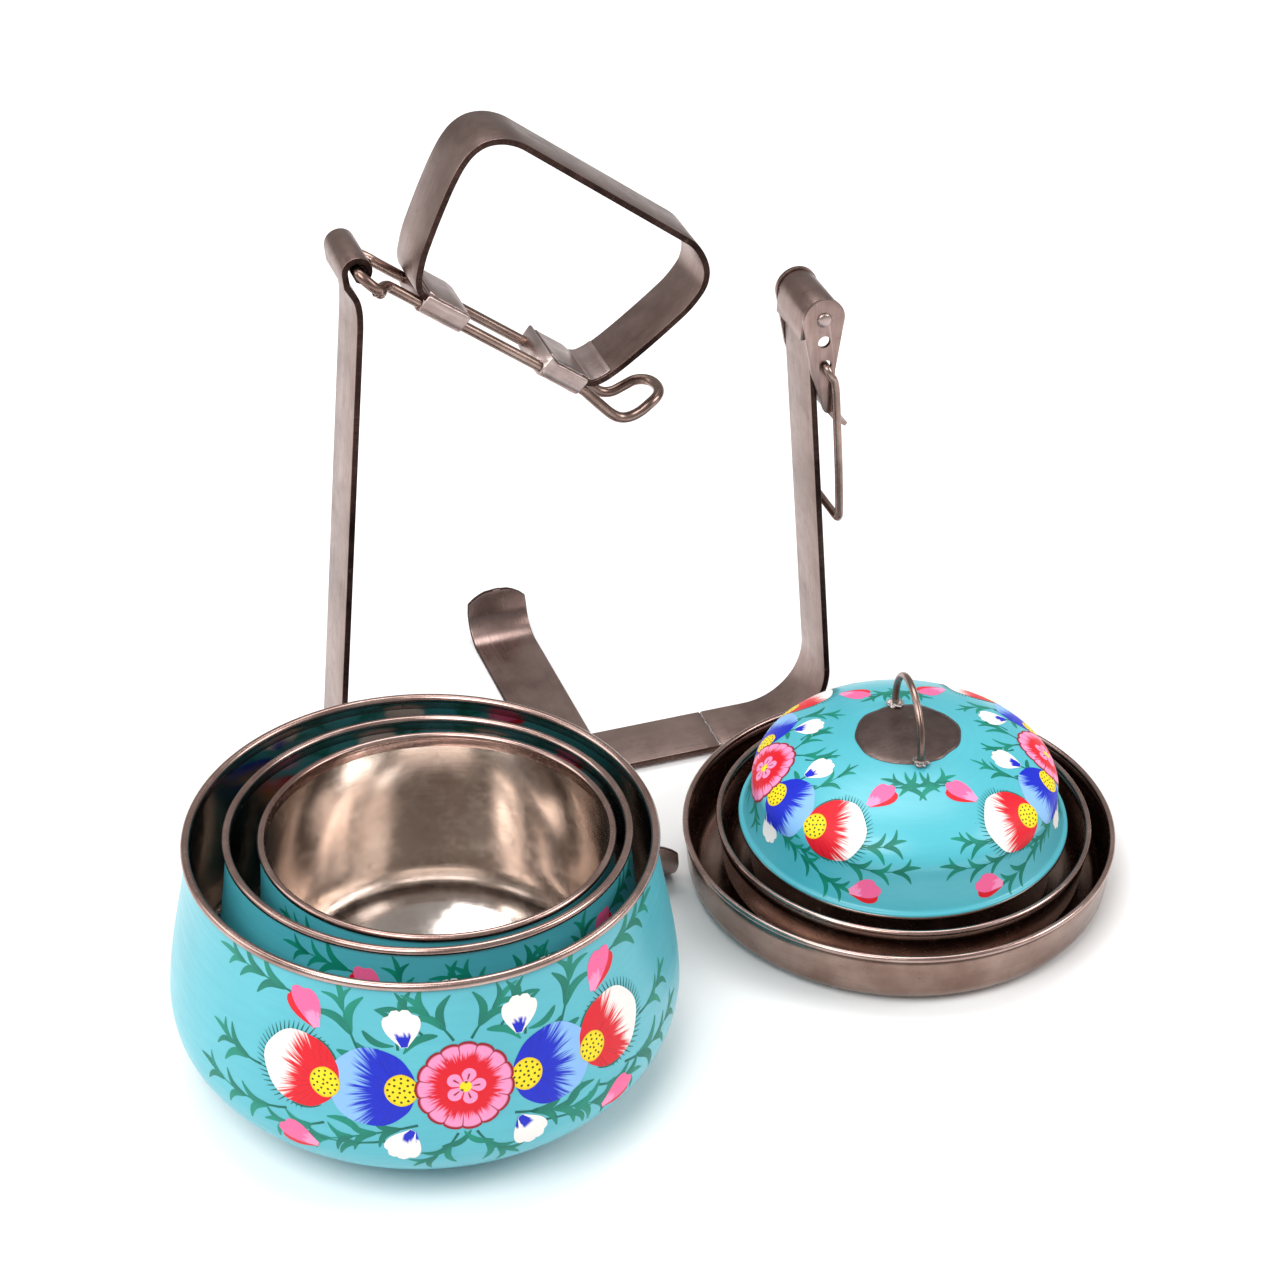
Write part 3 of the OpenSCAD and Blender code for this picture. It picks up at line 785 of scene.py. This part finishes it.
def blend_of(a, b, t):
    t = min(1, max(0, t))
    return tuple(x + (y - x) * t for x, y in zip(a, b))


class Painting:
    """Strokes laid on a surface of revolution.

    Each stroke is drawn flat, in millimetres, round a spot given by angle and height."""

    def __init__(self, skin, place, az, side, k):
        self.skin, self.place, self.az, self.side, self.k = skin, place, az, side, k
        self.run = lengths(skin)
        self.verts, self.faces, self.colours = [], [], []
        self.layer = 0

    def spot(self, angle, z):
        """angle is measured outward from the middle of the group."""
        i = min(range(len(self.skin)), key=lambda q: abs(self.skin[q][1] - z))
        return self.az + self.side * angle, self.run[i], self.skin[i][0]

    def point(self, spot, x, y, lift):
        angle, s0, r0 = spot
        s = min(max(s0 + y * self.k, 0.01), self.run[-1] - 0.01)
        lo, hi = 0, len(self.run) - 1
        while hi - lo > 1:
            m = (lo + hi) // 2
            lo, hi = (m, hi) if self.run[m] <= s else (lo, m)
        (ra, za), (rb, zb) = self.skin[lo], self.skin[hi]
        t = (s - self.run[lo]) / (self.run[hi] - self.run[lo])
        d = Vector((rb - ra, zb - za)).normalized()
        r = ra + (rb - ra) * t + d[1] * lift
        z = za + (zb - za) * t - d[0] * lift
        a = angle + self.side * math.degrees(x * self.k / r0)
        return self.place @ Vector((r * cos(a), r * sin(a), z))

    def grid(self, spot, rows, closed):
        """rows of (x, y, colour) points; x runs outward from the middle of the group."""
        lift = 0.05 + 0.01 * self.layer
        base = len(self.verts)
        n = len(rows[0])
        for row in rows:
            for x, y, c in row:
                self.verts.append(self.point(spot, x, y, lift))
                self.colours.append(c)
        for i in range(len(rows) - 1):
            for j in range(n if closed else n - 1):
                k = (j + 1) % n
                q = [base + i * n + j, base + i * n + k, base + (i + 1) * n + k, base + (i + 1) * n + j]
                self.faces.append(q if (self.side > 0) != closed else q[::-1])

    def disc(self, spot, cx, cy, edge, colour, rings=12, n=72):
        """A filled round shape; edge(angle) is its radius and colour(part, angle, streak) its colour."""
        streaks = [dice.random() for _ in range(n)]
        rows = []
        for i in range(rings + 1):
            t = max(0.02, i / rings)
            row = []
            for j in range(n):
                a = 360 * j / n
                row.append((cx + edge(a) * t * cos(a), cy + edge(a) * t * sin(a), colour(t, a, streaks[j])))
            rows.append(row)
        self.grid(spot, rows, True)

    def stroke(self, spot, P, width, a, b, body=None):
        """A tapering brush stroke through points P, coloured from a to b."""
        P = [Vector(p) for p in P]
        shape = body or (lambda t: math.sin(math.pi * (0.04 + 0.93 * t ** 0.8)) ** 0.8)
        rows = []
        for i, p in enumerate(P):
            d = (P[min(i + 1, len(P) - 1)] - P[max(i - 1, 0)]).normalized()
            n = Vector((-d[1], d[0]))
            t = i / (len(P) - 1)
            w = width * shape(t) / 2 + 0.03
            c = blend_of(a, b, t)
            rows.append([(*(p + n * w), blend_of(c, a, 0.5)), (*p, c), (*(p - n * w), c)])
        self.grid(spot, rows, False)

    def leaf(self, spot, x, y, angle, length, bend=0.16):
        """A pointed leaf with one edge darker than the other."""
        d = Vector((cos(angle), sin(angle)))
        n = Vector((-d[1], d[0]))
        along = [i / 10 for i in range(11)]
        P = [Vector((x, y)) + d * length * t + n * length * bend * math.sin(math.pi * t) for t in along]
        dark = dice.random() * 0.5
        self.stroke(spot, P, length * LEAF_WIDTH, blend_of(LEAF, GREEN, 0.3 + dark), blend_of(LEAF, GREEN, dark))

    def branch(self, at, angle, length, curl, pairs, leaf):
        """A curved stem with leaves on its sides and one at the tip."""
        spot = self.spot(*at)
        d, a = Vector((0, 0)), angle
        stem = [d.copy()]
        for i in range(pairs * 3):
            a += curl / (pairs * 3)
            d = d + Vector((cos(a), sin(a))) * length / (pairs * 3)
            stem.append(d.copy())
            if i % 3 == 1:
                size = leaf * (1 - 0.3 * i / (pairs * 3)) * (0.85 + 0.3 * dice.random())
                for side in (-1, 1):
                    self.leaf(spot, d[0], d[1], a + side * (30 + 14 * dice.random()), size, bend=-0.2 * side)
        self.leaf(spot, d[0], d[1], a, leaf * 0.75, bend=0.08)
        self.stroke(spot, stem, 0.95, GREEN, LEAF, lambda t: 1 - 0.6 * t)

    def bud(self, at, angle, length, width, fan, colours):
        """Overlapping rounded petals from one foot, each (foot colour, tip colour)."""
        spot = self.spot(*at)
        n = len(colours)
        x0, y0 = -cos(angle) * length * 0.5, -sin(angle) * length * 0.5
        for i in sorted(range(n), key=lambda i: -abs(i - (n - 1) / 2)):
            self.layer += 1
            a = angle + fan * (i - (n - 1) / 2)
            k = length * (1 - 0.1 * abs(i - (n - 1) / 2))
            P = [(x0 + cos(a) * k * t, y0 + sin(a) * k * t) for t in [q / 12 for q in range(13)]]
            foot, tip = colours[i]
            rows = []
            for q, (x, y) in enumerate(P):
                t = q / 12
                swell = math.sin(math.pi * (0.04 + 0.9 * t ** 1.5)) ** 0.62
                w = width / 2 * (0.1 + swell * 0.9) if t < 1 else width * 0.16
                row = []
                for j in range(7):
                    e = j / 3 - 1
                    jag = 0.12 * (dice.random() - 0.5)
                    row.append((x - sin(a) * w * e, y + cos(a) * w * e, foot if t + jag < 0.36 - 0.1 * e * e else tip))
                rows.append(row)
            self.grid(spot, rows, False)
        self.layer -= n

    def heart(self, spot, x, y, r):
        """A yellow centre with rings of dots."""
        self.layer += 6
        self.disc(spot, x, y, lambda a: r * (1.08 - 0.08 * abs(cos(a))),
                  lambda t, a, q: blend_of(YELLOW, GOLD, max(0, t * 3 - 2.4)), 6, 36)
        self.layer += 1
        circles = ((0.8, 12), (0.5, 7), (0.18, 3))  # part of the radius, and how many dots
        spots = [(f, 360 * i / n + 20 * n) for f, n in circles for i in range(n)]
        for dx, dy in [(f * r * cos(a), f * r * sin(a)) for f, a in spots]:
            self.disc(spot, x + dx, y + dy, lambda a: r * 0.085, lambda t, a, q: OLIVE, 1, 8)
        self.layer -= 7

    def rosette(self, r):
        """The scalloped red and pink flower in the middle of a group."""
        spot = self.spot(0, self.mid)
        self.layer += 12
        scallops = 15

        def part(a):
            return (a / 360 * scallops) % 1

        def outer(t, a, q):
            gap = abs(part(a) - 0.5) > 0.45
            if t > 0.95 or (gap and t > 0.74):
                return DARK_RED
            return blend_of(RED, PALE_PINK, (t - 0.68 - 0.18 * (q - 0.5) - 0.1 * abs(part(a) - 0.5)) / 0.1 + 0.5)

        self.disc(spot, 0, 0, lambda a: r * (0.94 + 0.06 * math.sin(math.pi * part(a)) ** 0.5), outer, 24, 240)
        self.layer += 1

        def petal(a):
            return abs(cos(2.5 * a))

        def inner(t, a, q):
            if petal(a) < 0.22:
                return RED
            return DARK_RED if t < 0.3 or (0.4 < t < 0.75 and petal(a) > 0.985) else PALE_PINK

        self.disc(spot, 0, 0, lambda a: r * 0.41 * (0.42 + 0.58 * petal(a) ** 0.5), inner, 12, 120)
        self.layer += 1
        self.disc(spot, 0, 0, lambda a: r * 0.12, lambda t, a, q: YELLOW if q > 0.25 or t < 0.6 else OLIVE, 4, 20)
        self.layer -= 14

    def bloom(self, at, r, near, far, tilt, fringe):
        """A flower seen from its side: streaks of the near colour fan from a dotted centre over the far colour."""
        spot = self.spot(*at)
        hx, hy = -r * 0.66 * cos(tilt), -r * 0.66 * sin(tilt)
        self.layer += 3

        def edge(a):
            b = 2 * (hx * cos(a) + hy * sin(a))
            reach = (-b + math.sqrt(b * b - 4 * (hx * hx + hy * hy - r * r))) / 2
            return reach * (1 + 0.012 * math.sin(math.radians(a * 9)))

        def colour(t, a, q):
            along = t * edge(a) * cos(a - tilt) / (1.66 * r)
            start = 0.58 + 0.26 * (q - 0.5) - 0.12 * sin(a - tilt) ** 2
            c = blend_of(near, far, (along - start) / 0.12 + 0.5)
            return blend_of(c, blend_of(near, (0, 0, 0), 0.4), 0.5 if q < 0.14 and along < start * 0.8 else 0)

        self.disc(spot, hx, hy, edge, colour, 26, 260)
        if fringe:
            self.layer -= 1
            for i in range(34):
                a = tilt - 112 + 224 * i / 33
                x0, y0 = r * 0.97 * cos(a), r * 0.97 * sin(a)
                k = r * (0.28 if 3 < i < 30 else 0.16)
                lean = a + 24
                P = [(x0 + cos(lean) * k * q, y0 + sin(lean) * k * q) for q in (0, 0.5, 1)]
                self.stroke(spot, P, r * 0.045, GREEN, GREEN, lambda t: 1 - 0.85 * t)
            for start, stop in ((tilt + 96, tilt + 150), (tilt - 96, tilt - 140)):
                P = arc((0, 0), r * 1.02, start, stop, 8)
                self.stroke(spot, P, r * 0.07, GREEN, GREEN)
            self.layer += 1
        self.heart(spot, hx * 1.02, hy * 1.02, r * 0.38)
        self.layer -= 3

    def group(self, heights, spread, size, leaf):
        """Half a group: blue and red flowers going outward, buds above and below, and leaves between."""
        self.mid, up, low, pink_up, pink_low = heights
        blue, red, white, pink = spread
        mid = self.mid
        pale, dark = (PALE_PINK, PINK), (RED, RED)
        rise = (up - mid) / 22.5
        branches = (
            ((pink + 1, pink_up + 3 * rise), 12, 27, -8, 3, 1.0),
            ((blue + 3, mid + 13 * rise), 62, 18, 14, 2, 1.0),
            ((blue - 6, mid + 14 * rise), 74, 9, 20, 1, 0.9),
            ((2, mid + 17 * rise), 62, 15, -20, 2, 0.95),
            ((9, mid + 20 * rise), 36, 9, 30, 1, 0.9),
            ((blue - 10, mid - 14 * rise), -14, 34, -6, 4, 0.95),
            ((blue - 3, mid - 21 * rise), -16, 25, 16, 2, 0.8),
            ((2, mid - 18 * rise), -64, 14, 22, 2, 0.85),
            ((red + 3, mid - 16 * rise), -22, 32, 34, 3, 1.0),
            ((red + 10, mid - 3 * rise), -6, 16, 26, 2, 0.9),
            ((red - 6, pink_low + 9 * rise), -30, 15, 16, 2, 0.9),
        )
        for at, angle, length, curl, pairs, part in branches:
            self.branch(at, angle, length, curl, pairs, leaf * part)
        single_leaves = (
            ((blue + 8, mid + 12 * rise), 170, 1.0),
            ((blue + 4, mid + 16 * rise), 196, 0.9),
            ((white + 9, up - 2), 205, 0.8),
            ((white - 8, up - 3), -30, 0.9),
            ((white + 9, low + 4), 20, 0.9),
            ((white - 8, low - 1), 150, 0.8),
        )
        for at, angle, part in single_leaves:
            self.leaf(self.spot(*at), 0, 0, angle, leaf * part)
        self.bloom((red, mid + 1.2), size[1], RED, WHITE, 16, True)
        self.bloom((blue, mid), size[0], BLUE, PALE_BLUE, 2, False)
        cup, lobe = (BLUE, WHITE), (WHITE, WHITE)
        self.bud((white, up), 84, 15, 6, 15, [lobe, cup, cup, lobe])
        self.bud((white, low), -64, 14.5, 6, 15, [cup, lobe, cup, lobe])
        self.bud((pink, pink_up), 58, 16, 7, 16, [dark, pale, pale])
        self.bud((pink + 1, pink_low), 14, 15, 7, 16, [dark, pale, pale])


def paint(name, skin, place, body, middles, heights, spread, size, leaf, k=1.0):
    """Two full groups, one on each side of the piece."""
    verts, faces, colours = [], [], []
    for az in middles:
        for side in (-1, 1):
            half = Painting(skin, place, az, side, k)
            half.group(heights, spread, size, leaf)
            if side > 0:
                half.rosette(ROSETTE_R)
            base = len(verts)
            verts += half.verts
            faces += [[i + base for i in q] for q in half.faces]
            colours += half.colours
    solid(name, verts, faces, [flowers], body, (), None, None, colours)


BOWL_SPREAD = (20.5, 37, 13.6, 36.4)  # degrees out to the blue and red flowers and the white and pink buds
BOWL_SIZES = (15, 14.2)  # radius of the blue and of the red flower
BOWL_LEAF = 14.5
paint("large_flowers", skin_large, AT_LARGE, "large_bowl", (VIEW_TURN - 97.5, VIEW_TURN + 82.5),
      (54.3, 77, 31.6, 79.6, 28.2), BOWL_SPREAD, BOWL_SIZES, BOWL_LEAF)
paint("medium_flowers", skin_medium, AT_MEDIUM, "medium_bowl", (VIEW_TURN - 87, VIEW_TURN + 93),
      (52, 72.5, 31, 75, 28), BOWL_SPREAD, BOWL_SIZES, BOWL_LEAF, 0.84)
paint("small_flowers", skin_small, AT_SMALL, "small_bowl", (VIEW_TURN - 105, VIEW_TURN + 75),
      (50, 69, 30, 71, 28), BOWL_SPREAD, BOWL_SIZES, BOWL_LEAF, 0.72)
paint("dome_flowers", skin_dome, AT_DOME, "dome_lid", (VIEW_TURN + 165.7, VIEW_TURN - 14.3),
      (47, 55.6, 34, 56, 29.5), (26, 51, 21, 66), (14.6, 15), 13, 0.8)

# ---- stage ---------------------------------------------------------------
floor_mat, nt, p = new_material("floor_white")
ob = node(nt, "TexCoord").outputs["Object"]
join(nt, mixed(nt, noise_of(nt, ob, 2, 2), (0.93, 0.93, 0.93), (0.95, 0.95, 0.95)), p.inputs["Base Color"])
p.inputs["Roughness"].default_value = 0.9
me = bpy.data.meshes.new("floor")
me.from_pydata([(-8, -8, 0), (8, -8, 0), (8, 8, 0), (-8, 8, 0)], [], [(0, 1, 2, 3)])
me.materials.append(floor_mat)
floor = bpy.data.objects.new("floor", me)
bpy.context.scene.collection.objects.link(floor)

world = bpy.data.worlds.new("studio")
bpy.context.scene.world = world
world.use_nodes = True
world.node_tree.nodes["Background"].inputs[0].default_value = (0.9, 0.88, 0.86, 1)
world.node_tree.nodes["Background"].inputs[1].default_value = 0.45


def lamp(name, at, aim, size, power):
    data = bpy.data.lights.new(name, "AREA")
    data.shape = "RECTANGLE"
    data.size, data.size_y = size
    data.energy = power
    ob = bpy.data.objects.new(name, data)
    ob.location = at
    ob.rotation_mode = "QUATERNION"
    ob.rotation_quaternion = (Vector(aim) - Vector(at)).to_track_quat("-Z", "Y")
    bpy.context.scene.collection.objects.link(ob)


lamp("key", (-0.9, -0.8, 1.6), (0, 0, 0.05), (1.1, 1.1), 24)
lamp("fill", (1.3, -0.7, 1.1), (0, 0, 0.05), (0.8, 0.8), 11)
lamp("side", (-1.7, 0.5, 1.1), (0, 0, 0.1), (1.3, 1.3), 12)
lamp("top", (0.1, 0.5, 1.9), (0, 0, 0), (1.6, 0.9), 18)

SENSOR = 36
IMAGE_PX = 1280
FOCAL_PX = 3300
VIEW_DOWN = 33.02
cam = bpy.data.objects.new("camera", bpy.data.cameras.new("camera"))
bpy.context.scene.collection.objects.link(cam)
bpy.context.scene.camera = cam
cam.data.sensor_width = SENSOR
cam.data.lens = SENSOR * FOCAL_PX / IMAGE_PX
cam.data.shift_x = 0.0395
cam.data.shift_y = -0.0584
cam.data.clip_start, cam.data.clip_end = 0.05, 30
cam.location = (-0.3452, -1.017, 0.7934)
look = Vector((0.3247 * cos(VIEW_DOWN), 0.9458 * cos(VIEW_DOWN), -sin(VIEW_DOWN)))
cam.rotation_mode = "QUATERNION"
cam.rotation_quaternion = look.to_track_quat("-Z", "Y")

bpy.context.scene.view_settings.view_transform = "Standard"
